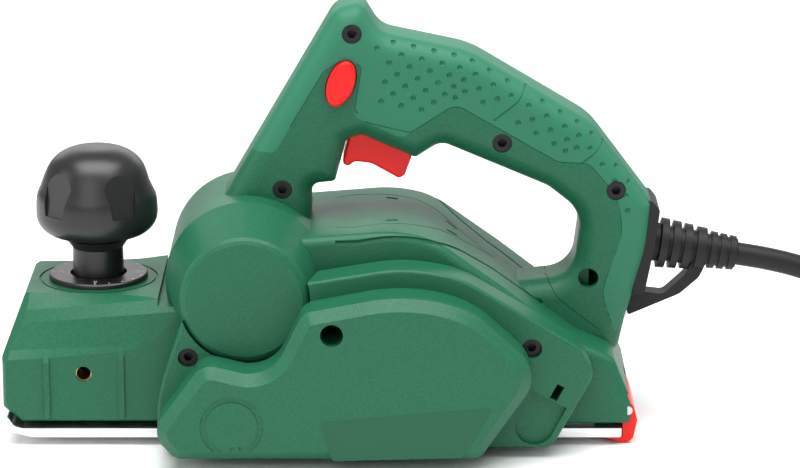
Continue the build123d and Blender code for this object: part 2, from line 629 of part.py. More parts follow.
# ---- the belt cover and what is on it
with BuildPart() as belt_cover:
    slab(FLANGE, COVER_BACK, FLANGE_Y)
    flange_edges = belt_cover.faces().sort_by(Axis.Y)[0].edges()
    fillet(flange_edges, 1.5)
    slab(RAISED, FLANGE_Y + 3, COVER_Y)
    face_edges = belt_cover.faces().sort_by(Axis.Y)[0].edges()
    chamfer(face_edges, COVER_CHAMFER)
    slab(FLANGE, COVER_BACK + 1, FLANGE_Y + COVER_WALL, Mode.SUBTRACT, COVER_WALL)
    slab(RAISED, FLANGE_Y + COVER_WALL + 1, COVER_Y + COVER_WALL, Mode.SUBTRACT, COVER_WALL)
    for x, z in COVER_SCREWS:
        rod(x, z, 6, COVER_BACK, FLANGE_Y + 1)
    rod(*COVER_WELL, 7, COVER_BACK, COVER_Y + 1)
    duct_clearance = [
        (-59, 0), (-59, DUCT_END_RADIUS + 1.2), (-56, DUCT_END_RADIUS + 1.2),
        (-28, DUCT_RADIUS + 0.8), (-28, 0),
    ]
    turned(duct_clearance, across(DUCT_X, DUCT_Z), Mode.SUBTRACT)
    for x, z in COVER_SCREWS:
        rod(x, z, 2.2, COVER_BACK + 1, FLANGE_Y - 1, Mode.SUBTRACT)
        rod(x, z, 4.3, FLANGE_Y + 5, FLANGE_Y - 1, Mode.SUBTRACT)
    rod(*COVER_WELL, 2.2, COVER_BACK + 1, COVER_Y - 1, Mode.SUBTRACT)
    rod(*COVER_WELL, 4.8, -52, COVER_Y - 1, Mode.SUBTRACT)
    slab(LABEL, COVER_Y + 0.5, COVER_Y - 1, Mode.SUBTRACT)
    with BuildSketch(side(COVER_Y + 0.5)) as turning_mark:
        with Locations(MARK_CENTRE):
            Circle(13.3)
            Circle(10.9, mode=Mode.SUBTRACT)
        with Locations((MARK_CENTRE[0], MARK_CENTRE[1] - 12)):
            Rectangle(9, 10, mode=Mode.SUBTRACT)
        with Locations(Location((MARK_CENTRE[0] + 5.2, MARK_CENTRE[1] - 10.6), 20)):
            RegularPolygon(3.4, 3)
        with Locations((MARK_CENTRE[0], MARK_CENTRE[1] - 12.4)):
            Rectangle(1.6, 7)
    extrude(turning_mark.sketch, amount=2, mode=Mode.SUBTRACT)
    with BuildSketch(side(FLANGE_Y + 2.2)) as pocket:
        with Locations(Location((96.5, 16.5), -28)):
            Rectangle(16.5, 14)
        with Locations((93.4, 10.6)):
            Circle(8.25)
    extrude(pocket.sketch, amount=3, mode=Mode.SUBTRACT)
    with BuildSketch(side(FLANGE_Y + 4)) as latch_slot:
        with Locations(Location((102.8, 25.6), -28)):
            Rectangle(3.4, 7)
    extrude(latch_slot.sketch, amount=5, mode=Mode.SUBTRACT)
save(belt_cover, "belt_cover")

with BuildPart() as cover_label:
    slab(LABEL, COVER_Y + 0.5, COVER_Y + 0.1)
save(cover_label, "cover_label")


def screw(x, z, head, head_radius, length, shank=1.9):
    """A star-recess screw along Y: its head's face at y = head, its shank running inwards."""
    rod(x, z, head_radius, head + 2.6, head)
    rod(x, z, shank, head + 2.6 + length, head + 2)
    with BuildSketch(side(head + 1.6)) as star:
        with Locations((x, z)):
            RegularPolygon(head_radius * 0.5, 6)
            with Locations(Location((0, 0), 30)):
                RegularPolygon(head_radius * 0.5, 3)
                RegularPolygon(head_radius * 0.5, 3, rotation=60)
    extrude(star.sketch, amount=3, mode=Mode.SUBTRACT)


with BuildPart() as cover_screws:
    for x, z in COVER_SCREWS:
        screw(x, z, FLANGE_Y + 2.2, 4.1, 11)
    screw(*COVER_WELL, -55.2, 4.1, 11)
save(cover_screws, "cover_screws")

with BuildPart() as housing_screws:
    for x, z in SHELL_SCREWS:
        screw(x, z, -16.2, 4.0, 22)
save(housing_screws, "housing_screws")

# ---- trigger, lock button and the switch behind them
with BuildPart() as trigger:
    slab(TRIGGER, 9.2, -9.2)
    rims = trigger.faces().sort_by(Axis.Y)
    fillet(rims[0].edges() + rims[-1].edges(), 1.2)
save(trigger, "trigger")

with BuildPart() as lock_button:
    with BuildSketch(side(-13)) as oval:
        with Locations(Location((BUTTON_X, BUTTON_Z), BUTTON_TILT)):
            Ellipse(BUTTON_LENGTH / 2, BUTTON_WIDTH / 2)
    extrude(oval.sketch, amount=7.2)
    fillet(lock_button.faces().sort_by(Axis.Y)[0].edges(), 1.6)
save(lock_button, "lock_button")

with BuildPart() as switch_module:
    block((19, 41), (-7.5, 7.5), (137, 152))
    block((30, 36), (-3, 3), (133, 137.5))
save(switch_module, "switch_module")

with BuildPart() as capacitor:
    block((48, 62), (-6, 6), (134, 142.5))
save(capacitor, "capacitor")

with BuildPart() as cord_clamp:
    block((130, 137.5), (-9, 9), (83, 88))
    for y in (-6, 6):
        post(133.7, y, 1.6, 80, 90, Mode.SUBTRACT)
save(cord_clamp, "cord_clamp")

with BuildPart() as internal_leads:
    for y in (-4.5, 4.5):
        with BuildLine() as route:
            FilletPolyline(
                SIDE.from_local_coords((128, 70, y)), SIDE.from_local_coords((127, 100, y)),
                SIDE.from_local_coords((110, 118, y)), SIDE.from_local_coords((66, 146, y)),
                SIDE.from_local_coords((42, 148, y)), radius=10,
            )
        with BuildSketch(Plane(origin=route.line @ 0, z_dir=route.line % 0)) as wire_section:
            Circle(1.3)
        sweep(wire_section.sketch, path=route.line)
save(internal_leads, "internal_leads")

# ---- the parking rest
REST_NEAR, REST_FAR = -38.2, 2.2
with BuildPart() as parking_rest:
    slab(REST, REST_FAR, REST_NEAR)
    rod(*REST_PIVOT, 2.05, REST_FAR + 1, REST_NEAR - 1, Mode.SUBTRACT)
save(parking_rest, "parking_rest")

with BuildPart() as rest_pin:
    rod(*REST_PIVOT, 1.98, 5.5, -SHELL_HALF + 1)
save(rest_pin, "rest_pin")

# ---- the bend protector, the strap and the cord
BOOT = Plane(
    origin=(SOLE_X + BOOT_X, 0, SOLE_Z + BOOT_Z),
    x_dir=(math.cos(math.radians(CORD_SLOPE)), 0, -math.sin(math.radians(CORD_SLOPE))),
    z_dir=(0, -1, 0),
)
BOOT_COLLAR = [
    (140, 97, 1), (145.2, 97, 2), (148.4, 93, 2), (146.2, 76, 30), (142.2, 55.5, 1.5), (137, 55, 1),
]
boot_profile = [(-2.5, 0), (-2.5, 8.6), (2.5, 8.4)]
for i in range(3):
    start = 3.0 + 5.2 * i
    boot_profile += [(start, 7.8), (start, 11.0 - 0.5 * i), (start + 3.2, 10.8 - 0.5 * i), (start + 3.2, 7.6)]
boot_profile += [(19.0, 7.4), (19.0, 9.4), (23.0, 9.2), (23.0, 6.9)]
for i in range(3):
    start = 25.2 + 4.2 * i
    boot_profile += [
        (start, 6.8 - 0.1 * i), (start, 8.2 - 0.3 * i),
        (start + 2.6, 8.0 - 0.3 * i), (start + 2.6, 6.7 - 0.1 * i),
    ]
boot_profile += [(BOOT_LENGTH, 6.3), (BOOT_LENGTH, 0)]
with BuildPart() as bend_protector:
    turned(boot_profile, BOOT)
    slab(BOOT_COLLAR, 12, -12)
    add(handle_solid.part, mode=Mode.SUBTRACT)
save(bend_protector, "bend_protector")

with BuildPart() as cable_strap:
    slab(
        [(164.2, 70, 1), (170.5, 70, 1), (166.5, 61, 8), (158, 53.5, 8), (135, 43.5, 1), (137.5, 55, 0.5),
         (151, 53.4, 4), (160.2, 62, 8)],
        4.5, -4.5,
    )
    add(bend_protector.part, mode=Mode.SUBTRACT)
    add(handle_solid.part, mode=Mode.SUBTRACT)
    add(body_solid.part, mode=Mode.SUBTRACT)
save(cable_strap, "cable_strap")

# the cord runs down from the bend protector on to the coil's top layer
route_points = [SIDE.from_local_coords((x, z)) for x, z in CORD_ROUTE]


def bend_radii(points):
    """As large an arc at each corner as its two runs allow."""
    radii = []
    for before, here, after in zip(points, points[1:], points[2:]):
        first = here - before
        second = after - here
        half_turn = math.radians(first.get_angle(second)) / 2
        radii.append(0.45 * min(first.length, second.length) / math.tan(half_turn))
    return radii


cord_radii = bend_radii(route_points)
print("cord bend radii", [round(r, 1) for r in cord_radii])
coil_height = 2 * CORD_RADIUS * COIL_LAYERS
coil_half_width = CORD_RADIUS * (COIL_TURNS_A_LAYER + 1)

coil_plane = Plane(origin=(SOLE_X + COIL_X, COIL_Y, 0), x_dir=(1, 0, 0), z_dir=(0, -1, 0))
with BuildPart() as cord_coil:
    with BuildSketch(coil_plane) as winding:
        with Locations((COIL_MID, coil_height / 2)):
            RectangleRounded(2 * coil_half_width, coil_height, CORD_RADIUS * 0.9)
    revolve(winding.sketch, axis=Axis((SOLE_X + COIL_X, COIL_Y, 0), (0, 0, 1)))
save(cord_coil, "cord_coil")

with BuildPart() as whole_cord:
    with BuildLine() as route:
        FilletPolyline(*route_points, radius=cord_radii)
    with BuildSketch(Plane(origin=route.line @ 0, z_dir=route.line % 0)) as cord_section:
        Circle(CORD_RADIUS)
    sweep(cord_section.sketch, path=route.line)
    tube_length = sum(edge.length for edge in route.edges())
    expected = math.pi * CORD_RADIUS**2 * tube_length
    print("cord volume", whole_cord.part.volume, "expected", expected, "length", tube_length)
    add(cord_coil.part, mode=Mode.SUBTRACT)

with BuildPart() as mains_cord:
    add(whole_cord.part.solids().sort_by(Axis.X)[0])
save(mains_cord, "mains_cord")

tail_points = [SIDE.from_local_coords((x, z, -y)) for x, y, z in TAIL_ROUTE]
tail_radii = bend_radii(tail_points)
print("tail bend radii", [round(r, 1) for r in tail_radii])
PLUG_AXIS_RISE = 1.3  # from the cord's end up to the middle of the plug
PLUG_TAIL = 16.0
PLUG_FRONT = 22.0
plug_heading = Vector(28, -4, 0).normalized()
plug_start = tail_points[-1] + Vector(0, 0, PLUG_AXIS_RISE)
plug_plane = Plane(origin=plug_start, x_dir=plug_heading.cross(Vector(0, 0, -1)), z_dir=plug_heading)
with BuildPart() as plug_body:
    with BuildSketch(plug_plane.offset(PLUG_TAIL)) as front:
        Ellipse(18, 12.3)
    extrude(front.sketch, amount=PLUG_FRONT)
    with BuildSketch(plug_plane) as tail_end:
        Circle(6.5)
    with BuildSketch(plug_plane.offset(PLUG_TAIL)) as tail_root:
        Ellipse(14, 11)
    loft([tail_end.sketch, tail_root.sketch])
save(plug_body, "plug_body")

with BuildPart() as plug_pins:
    with BuildSketch(plug_plane.offset(PLUG_TAIL + PLUG_FRONT)) as pins:
        with Locations((-9.5, 0), (9.5, 0)):
            Circle(2.4)
    extrude(pins.sketch, amount=19)
save(plug_pins, "plug_pins")

with BuildPart() as cord_tail:
    with BuildLine() as tail:
        FilletPolyline(*tail_points, radius=tail_radii)
    with BuildSketch(Plane(origin=tail.line @ 0, z_dir=tail.line % 0)) as tail_section:
        Circle(CORD_RADIUS)
    sweep(tail_section.sketch, path=tail.line)
    add(cord_coil.part, mode=Mode.SUBTRACT)
    add(plug_body.part, mode=Mode.SUBTRACT)
save(cord_tail, "cord_tail")
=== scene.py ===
"""The looks of an electric hand planer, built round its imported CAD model.

Side view places are given in millimetres from the middle of the sole, at the sole's level: x towards
the rear, z up. at() turns them into the frame's metres.
"""

import json
import math

import bpy
import numpy as np
from mathutils import Matrix, Vector
from mathutils.bvhtree import BVHTree

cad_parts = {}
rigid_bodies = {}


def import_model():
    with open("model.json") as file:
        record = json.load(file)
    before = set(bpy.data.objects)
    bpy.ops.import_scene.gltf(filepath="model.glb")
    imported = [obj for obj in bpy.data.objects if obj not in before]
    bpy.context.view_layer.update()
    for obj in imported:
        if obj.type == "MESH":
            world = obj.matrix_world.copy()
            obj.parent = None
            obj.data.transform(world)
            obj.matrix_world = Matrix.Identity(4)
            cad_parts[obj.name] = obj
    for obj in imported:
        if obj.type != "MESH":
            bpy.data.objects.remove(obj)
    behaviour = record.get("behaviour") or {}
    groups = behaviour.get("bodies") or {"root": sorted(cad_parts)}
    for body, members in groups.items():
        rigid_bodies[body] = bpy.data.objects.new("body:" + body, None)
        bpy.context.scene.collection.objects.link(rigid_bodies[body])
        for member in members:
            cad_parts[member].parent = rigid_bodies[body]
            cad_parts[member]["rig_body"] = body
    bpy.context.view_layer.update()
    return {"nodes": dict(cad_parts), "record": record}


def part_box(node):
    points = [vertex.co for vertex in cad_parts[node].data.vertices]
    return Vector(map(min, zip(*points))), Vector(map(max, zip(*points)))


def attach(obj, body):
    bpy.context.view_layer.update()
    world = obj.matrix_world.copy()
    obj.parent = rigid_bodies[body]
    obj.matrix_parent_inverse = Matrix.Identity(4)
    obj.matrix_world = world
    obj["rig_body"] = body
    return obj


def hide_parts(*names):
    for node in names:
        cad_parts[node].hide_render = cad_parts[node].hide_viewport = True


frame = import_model()
nodes = frame["nodes"]

MM = 0.001
SOLE_REAR = 131.5  # from the middle of the sole to its rear end
SOLE_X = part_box("base_frame")[1].x / MM - SOLE_REAR
SOLE_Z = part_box("base_frame")[0].z / MM


def at(x, z, y=0.0):
    """A point of the frame, in metres, from side view millimetres."""
    return Vector(((SOLE_X + x) * MM, y * MM, (SOLE_Z + z) * MM))


# ---- camera
CAMERA_PITCH = math.radians(15.5)  # below the horizontal
CAMERA_DISTANCE = 1.5
CAMERA_TARGET = at(36.4, 79.2)
CAMERA_LENS, CAMERA_SENSOR = 155.25, 36.0  # millimetres


def make_camera():
    """A little above the tool and square to its left side, looking slightly down."""
    data = bpy.data.cameras.new("camera")
    data.lens = CAMERA_LENS
    data.sensor_width = CAMERA_SENSOR
    camera = bpy.data.objects.new("camera", data)
    back = Vector((0, -math.cos(CAMERA_PITCH), math.sin(CAMERA_PITCH)))
    camera.location = CAMERA_TARGET + CAMERA_DISTANCE * back
    camera.rotation_euler = (math.pi / 2 - CAMERA_PITCH, 0, 0)
    data.clip_start = 0.05
    data.clip_end = 20
    bpy.context.scene.collection.objects.link(camera)
    bpy.context.scene.camera = camera


make_camera()

# ---- the cord: out of the bend protector, down and on to its coil
CORD_RADIUS = 5.0
CORD_ROUTE = [
    (182.6, 70.5), (207.3, 66.8), (229.8, 55.9), (247.5, 38.8), (264.9, 22.4), (283.0, 12.8),
]
COIL_X, COIL_Y = 298.0, 71.0
COIL_OUTER_TURN, COIL_INNER_TURN = 71.0, 41.0
COIL_TURNS = 3  # in each of the two layers
TURN_POINTS = 16
TOP_LAYER, BOTTOM_LAYER = 15.0, 5.0
CORD_TAIL = [(232.5, 30, 1.5), (244.5, 0, 1.5), (262.5, -24, 1.5), (287.5, -38, 3), (315.5, -42, 7.5)]


def coil_points():
    """The coil's control points: three turns in, a step down and nearly three turns out again."""
    points = []
    total = 2 * COIL_TURNS * TURN_POINTS - TURN_POINTS // 4
    spread = 1 / math.cos(math.pi / TURN_POINTS) ** 0.75
    for i in range(total + 1):
        turn = i / TURN_POINTS
        inward = min(turn, 2 * COIL_TURNS - turn) / COIL_TURNS
        radius = COIL_OUTER_TURN + (COIL_INNER_TURN - COIL_OUTER_TURN) * inward
        step_down = min(max((turn - COIL_TURNS) * 4 + 0.5, 0), 1)
        angle = 2 * math.pi * turn - math.pi / 2
        height = TOP_LAYER + (BOTTOM_LAYER - TOP_LAYER) * step_down
        x = (SOLE_X + COIL_X + radius * spread * math.cos(angle)) * MM
        y = (COIL_Y + radius * spread * math.sin(angle)) * MM
        points.append(Vector((x, y, height * MM)))
    return points


def make_cord():
    points = [at(x, z) for x, z in CORD_ROUTE] + coil_points() + [at(x, z, y) for x, y, z in CORD_TAIL]
    curve = bpy.data.curves.new("power_cord", "CURVE")
    curve.dimensions = "3D"
    curve.bevel_depth = CORD_RADIUS * MM
    curve.bevel_resolution = 6
    curve.resolution_u = 8
    spline = curve.splines.new("NURBS")
    spline.points.add(len(points) - 1)
    for control, point in zip(spline.points, points):
        control.co = (*point, 1)
    spline.order_u = 3
    spline.use_endpoint_u = True
    cord = bpy.data.objects.new("power_cord", curve)
    bpy.context.scene.collection.objects.link(cord)
    return cord


cord = make_cord()


# ---- materials
class Material:
    """A node material: a shader with what drives its colour, roughness and bump."""

    def __init__(self, name, roughness=0.5, metallic=0.0, **sockets):
        self.material = bpy.data.materials.new(name)
        self.material.use_nodes = True
        self.tree = self.material.node_tree
        self.shader = self.tree.nodes["Principled BSDF"]
        self.shader.inputs["Roughness"].default_value = roughness
        self.shader.inputs["Metallic"].default_value = metallic
        for socket, value in sockets.items():
            self.shader.inputs[socket.replace("_", " ")].default_value = value
        self.place = self.node("ShaderNodeTexCoord").outputs["Object"]
        self.height = None

    def node(self, kind, **inputs):
        made = self.tree.nodes.new(kind)
        for name, value in inputs.items():
            made.inputs[name.replace("_", " ")].default_value = value
        return made

    def noise(self, size_mm, detail=3.0, stretch=(1, 1, 1), rough=0.55):
        """Noise with features of about that size, stretched along the frame's axes."""
        mapping = self.node("ShaderNodeMapping")
        mapping.inputs["Scale"].default_value = [1 / s for s in stretch]
        self.tree.links.new(self.place, mapping.inputs["Vector"])
        made = self.node("ShaderNodeTexNoise", Scale=1 / (size_mm * MM), Detail=detail, Roughness=rough)
        self.tree.links.new(mapping.outputs["Vector"], made.inputs["Vector"])
        return made.outputs["Fac"]

    def ramp(self, value, stops, smooth=False):
        made = self.node("ShaderNodeValToRGB")
        ramp = made.color_ramp
        if smooth:
            ramp.interpolation = "EASE"
        ramp.elements[0].position, ramp.elements[0].color = stops[0][0], (*stops[0][1], 1)
        ramp.elements[1].position, ramp.elements[1].color = stops[-1][0], (*stops[-1][1], 1)
        for position, colour in stops[1:-1]:
            ramp.elements.new(position).color = (*colour, 1)
        self.tree.links.new(value, made.inputs["Fac"])
        return made.outputs["Color"]

    def range(self, value, low, high):
        made = self.node("ShaderNodeMapRange", To_Min=low, To_Max=high)
        self.tree.links.new(value, made.inputs["Value"])
        return made.outputs["Result"]

    def colour(self, value, stops):
        self.tree.links.new(self.ramp(value, stops), self.shader.inputs["Base Color"])

    def roughness(self, value, low, high):
        self.tree.links.new(self.range(value, low, high), self.shader.inputs["Roughness"])

    def bump(self, value, depth_mm, strength=1.0):
        """Adds a layer of relief of that depth over what is there already."""
        made = self.node("ShaderNodeBump", Strength=strength, Distance=depth_mm * MM)
        self.tree.links.new(value, made.inputs["Height"])
        if self.height is not None:
            self.tree.links.new(self.height, made.inputs["Normal"])
        self.height = made.outputs["Normal"]
        self.tree.links.new(self.height, self.shader.inputs["Normal"])


def shades(colour, *levels):
    return [tuple(min(c * level, 1) for c in colour) for level in levels]


def moulded(name, colour, roughness, grain_mm=0.7, grain_depth=0.09, speckle=0.2, **sockets):
    """Spark-eroded plastic: a fine even grain, faint flow marks and a few dull rubbed patches."""
    sockets = {"Specular_IOR_Level": 0.28, **sockets}
    made = Material(name, roughness, **sockets)
    grain = made.noise(grain_mm, detail=2.0)
    dark, mid, light = shades(colour, 1 - speckle, 1, 1 + speckle)
    made.colour(grain, [(0.3, dark), (0.5, mid), (0.7, light)])
    made.roughness(made.noise(18, detail=4), roughness - 0.05, roughness + 0.07)
    made.bump(made.noise(35, detail=2), 0.12)
    made.bump(grain, grain_depth)
    return made.material


def metal(name, colour, roughness, stretch=(1, 1, 1), size_mm=0.4, depth=0.01):
    """Ground or brushed metal with lines along its stretch and slightly dull spots."""
    made = Material(name, roughness, 1.0)
    lines = made.noise(size_mm, detail=4, stretch=stretch)
    spots = made.noise(9, detail=5)
    dark, light = shades(colour, 0.84, 1.1)
    made.colour(lines, [(0.25, dark), (0.75, light)])
    made.roughness(spots, roughness - 0.07, roughness + 0.13)
    made.bump(lines, depth)
    return made.material


GREEN = (0.011, 0.11, 0.053)
GREEN_SKIN = (0.022, 0.16, 0.088)
GREEN_PANEL = (0.009, 0.092, 0.044)
BLACK = (0.012, 0.012, 0.013)
RED = (0.74, 0.008, 0.006)

materials = {
    "green_shell": moulded("green_moulded_plastic", GREEN, 0.42),
    "green_skin": moulded("green_soft_grip", GREEN_SKIN, 0.5, 0.4, 0.03, 0.08),
    "green_panel": moulded("green_panel_film", GREEN_PANEL, 0.38, 0.3, 0.01, 0.05),
    "black_plastic": moulded("black_plastic", BLACK, 0.33, 0.35, 0.02, 0.3, Specular_IOR_Level=0.5),
    "black_rubber": moulded("black_rubber", (0.011, 0.011, 0.012), 0.5, 0.5, 0.02),
    "red_plastic": moulded("red_plastic", RED, 0.3, 0.6, 0.008, 0.03),
    "sole_aluminium": metal("milled_aluminium", (0.78, 0.79, 0.8), 0.3, stretch=(30, 1, 1)),
    "cast_aluminium": metal("cast_aluminium", (0.55, 0.55, 0.57), 0.5, size_mm=1.2, depth=0.06),
    "steel": metal("ground_steel", (0.56, 0.56, 0.57), 0.28, stretch=(1, 12, 1)),
    "dark_steel": metal("blackened_steel", (0.035, 0.035, 0.038), 0.42, size_mm=0.8),
    "brass": metal("turned_brass", (0.7, 0.5, 0.2), 0.3),
    "copper": metal("enamelled_copper", (0.62, 0.26, 0.1), 0.35, (1, 1, 20), 0.6, 0.05),
    "carbon": moulded("pressed_carbon", (0.02, 0.02, 0.021), 0.55),
    "grey_plastic": moulded("grey_plastic", (0.09, 0.09, 0.095), 0.45),
    "belt_rubber": moulded("belt_rubber", (0.014, 0.014, 0.014), 0.65),
}
node_slots = {part["node"]: part["material_slot"] for part in frame["record"]["subparts"]}


def paint(piece, slot):
    """Give a piece the finish of one of the record's slots."""
    piece.data.materials.clear()
    piece.data.materials.append(materials[slot])


for name, cad_piece in nodes.items():
    cad_piece.data.materials.clear()
    cad_piece.data.materials.append(materials[node_slots[name]])


# ---- mesh helpers
def mesh_piece(name, mesh):
    piece = bpy.data.objects.new(name, mesh)
    bpy.context.scene.collection.objects.link(piece)
    return piece


def baked(piece):
    """The piece's mesh with its modifiers applied."""
    evaluated = piece.evaluated_get(bpy.context.evaluated_depsgraph_get())
    return bpy.data.meshes.new_from_object(evaluated)


WELD_DECIMALS = 7  # of a metre


def weld(mesh):
    """The mesh's distinct points, and each vertex's number among them."""
    points = np.array([v.co for v in mesh.vertices])
    keys, inverse = np.unique(np.round(points, WELD_DECIMALS), axis=0, return_inverse=True)
    return keys, inverse.reshape(-1)


def welded_copy(node, name):
    """A copy of a CAD node's mesh as one closed surface, with no split vertices."""
    source = nodes[node].data
    keys, inverse = weld(source)
    faces = []
    for polygon in source.polygons:
        corners = [int(inverse[i]) for i in polygon.vertices]
        if len(set(corners)) == len(corners):
            faces.append(corners)
    mesh = bpy.data.meshes.new(name)
    mesh.from_pydata([tuple(k) for k in keys], [], faces)
    return mesh_piece(name, mesh)


def smooth(piece, angle=32):
    """Smooth shading, with edges sharper than the angle kept crisp."""
    piece.data.polygons.foreach_set("use_smooth", [True] * len(piece.data.polygons))
    piece.data.set_sharp_from_angle(angle=math.radians(angle))


def carve(piece, cutter):
    """Take a cutter's volume out of a piece."""
    modifier = piece.modifiers.new("carve", "BOOLEAN")
    modifier.operation = "DIFFERENCE"
    modifier.solver = "MANIFOLD"
    modifier.object = cutter
    mesh = baked(piece)
    piece.modifiers.clear()
    if not mesh.polygons:
        raise RuntimeError(f"nothing is left of {piece.name}")
    piece.data = mesh
    bpy.data.objects.remove(cutter)


ARC_STEPS = 8


def filleted(corners, step=0.8):
    """A line through (x, z, radius) corners with true arcs, as evenly spaced (x, z) points."""
    line = [Vector(corners[0][:2])]
    for before, here, after in zip(corners, corners[1:], corners[2:]):
        corner = Vector(here[:2])
        back = (Vector(before[:2]) - corner).normalized()
        ahead = (Vector(after[:2]) - corner).normalized()
        half = back.angle(ahead) / 2
        reach = here[2] / math.tan(half)
        centre = corner + (back + ahead).normalized() * here[2] / math.sin(half)
        start, end = corner + back * reach, corner + ahead * reach
        first, last = start - centre, end - centre
        turn = first.angle(last)
        for i in range(ARC_STEPS + 1):
            t = i / ARC_STEPS
            swung = (first * math.sin(turn * (1 - t)) + last * math.sin(turn * t)) / math.sin(turn)
            line.append(centre + swung)
    line.append(Vector(corners[-1][:2]))
    even = []
    for a, b in zip(line, line[1:]):
        count = max(1, math.ceil((b - a).length / step))
        even += [a.lerp(b, i / count) for i in range(count)]
    return even + [line[-1]]


def surface(piece):
    """The piece's surface as a tree to cast rays at."""
    return BVHTree.FromObject(piece, bpy.context.evaluated_depsgraph_get())


RAY_START = 120  # from the middle plane, clear of the whole tool


def on_side(tree, x, z, turn):
    """Where a ray along Y meets the surface on one side (turn -1 is the near side), or None."""
    start = at(x, z, RAY_START * turn)
    found, normal, _, _ = tree.ray_cast(start, Vector((0, -turn, 0)))
    return (found, normal) if found else None


def tube(name, points, radius_mm, roundness=1):
    """A closed tube along points, as a cutter. Its section has 2 * roundness + 4 sides."""
    curve = bpy.data.curves.new(name, "CURVE")
    curve.dimensions = "3D"
    curve.bevel_depth = radius_mm * MM
    curve.bevel_resolution = roundness
    curve.use_fill_caps = True
    spline = curve.splines.new("POLY")
    spline.points.add(len(points) - 1)
    for control, point in zip(spline.points, points):
        control.co = (*point, 1)
    made = mesh_piece(name, curve)
    mesh = bpy.data.meshes.new_from_object(made)
    bpy.data.objects.remove(made)
    return mesh


def joined(name, meshes):
    """Several closed meshes as one object, welded."""
    points, faces = [], []
    for mesh in meshes:
        start = len(points)
        keys, inverse = weld(mesh)
        points += [tuple(k) for k in keys]
        for polygon in mesh.polygons:
            corners = [int(inverse[i]) + start for i in polygon.vertices]
            if len(set(corners)) > 2:
                faces.append(list(dict.fromkeys(corners)))
    whole = bpy.data.meshes.new(name)
    whole.from_pydata(points, [], faces)
    return mesh_piece(name, whole)


def side_line(tree, line, turn):
    """The line laid on one side of a surface. It ends where the surface does."""
    found = [on_side(tree, p.x, p.y, turn) for p in line]
    return [hit[0] for hit in found if hit]


def cut_lines(piece, lines, radius_mm, sides=(-1, 1)):
    """Engrave lines of the side view into both sides of a piece."""
    tree = surface(piece)
    for line in lines:
        for turn in sides:
            path = side_line(tree, line, turn)
            if len(path) > 3:
                carve(piece, joined("groove", [tube("groove", path, radius_mm)]))


def ball(centre, radius_mm, rings=6, spokes=14):
    """A closed sphere's mesh."""
    points = [Vector((0, 0, 1)), Vector((0, 0, -1))]
    for i in range(1, rings):
        tilt = math.pi * i / rings
        for k in range(spokes):
            turn = 2 * math.pi * k / spokes
            ring = math.sin(tilt)
            points.append(Vector((ring * math.cos(turn), ring * math.sin(turn), math.cos(tilt))))
    faces = []
    for k in range(spokes):
        after = (k + 1) % spokes
        faces.append((0, 2 + k, 2 + after))
        last = 2 + (rings - 2) * spokes
        faces.append((1, last + after, last + k))
        for i in range(rings - 2):
            row = 2 + i * spokes
            faces.append((row + k, row + spokes + k, row + spokes + after, row + after))
    mesh = bpy.data.meshes.new("ball")
    mesh.from_pydata([centre + p * radius_mm * MM for p in points], [], faces)
    return mesh


def finish_piece(piece, node, angle=32):
    """Shade, paint and hand over a piece that stands for a CAD node."""
    smooth(piece, angle)
    paint(piece, node_slots[node])
    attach(piece, nodes[node]["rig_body"])
    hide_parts(node)


# ---- the soft grip: its dimples, its two notches and the seam round it
SKIN_EDGE = [
    (-17, 120, 3), (4, 155, 4), (12, 160.5, 4), (20, 158, 3), (16.5, 136, 4), (37, 126, 6), (60, 141, 7),
    (104, 115.5, 8), (117, 115, 6), (129, 101, 20), (132.5, 84, 30), (123, 58, 14), (129, 40, 2),
]
HANDLE_TOP = [
    (16, 190, 1), (20, 184, 5), (28, 171, 12), (66, 163, 40), (118, 132, 30), (145, 96, 2), (143, 76, 1),
]
DIMPLE_PITCH = 8.8
DIMPLE_RADIUS = 1.35
DIMPLE_ROWS = 7
DIMPLE_ROW_GAP = 4.3
FIRST_ROW = 2.2  # below the handle's top line
DIMPLES_FROM, DIMPLES_TO = 26, 136  # along x
DIMPLE_CLEARANCE = 2.6  # from the seam and the notches
DIMPLE_SIDE = 4  # nearer the middle plane than this, a place is on the top and gets no dimple
DIMPLE_CENTRE = 0.35  # of the ball, out from the surface
NOTCH_RADIUS, SEAM_RADIUS = 0.55, 0.4


def distance_to_line(point, line):
    best = 1e9
    for a, b in zip(line, line[1:]):
        run = b - a
        t = min(max((point - a).dot(run) / max(run.length_squared, 1e-9), 0), 1)
        best = min(best, (point - a - run * t).length)
    return best


def dimple_places(top, edge, notches):
    """Staggered rows of side view places that follow the handle's top line."""
    places = []
    for row in range(DIMPLE_ROWS):
        inward = FIRST_ROW + DIMPLE_ROW_GAP * row
        travelled = DIMPLE_PITCH * (0.5 * (row % 2) + 0.2)
        for a, b in zip(top, top[1:]):
            run = b - a
            normal = Vector((run.y, -run.x)).normalized()
            travelled -= run.length
            if travelled <= 0:
                travelled += DIMPLE_PITCH
                place = a + normal * inward
                clear = min([distance_to_line(place, line) for line in [edge, *notches]])
                if DIMPLES_FROM < place.x < DIMPLES_TO and clear > DIMPLE_CLEARANCE:
                    places.append(place)
    return places


NOTCHES = [
    [(90.5, 150, 1), (88, 143, 12), (76.5, 134, 1)],
    [(124.5, 127.5, 1), (122, 121, 12), (111.5, 113.5, 1)],
]


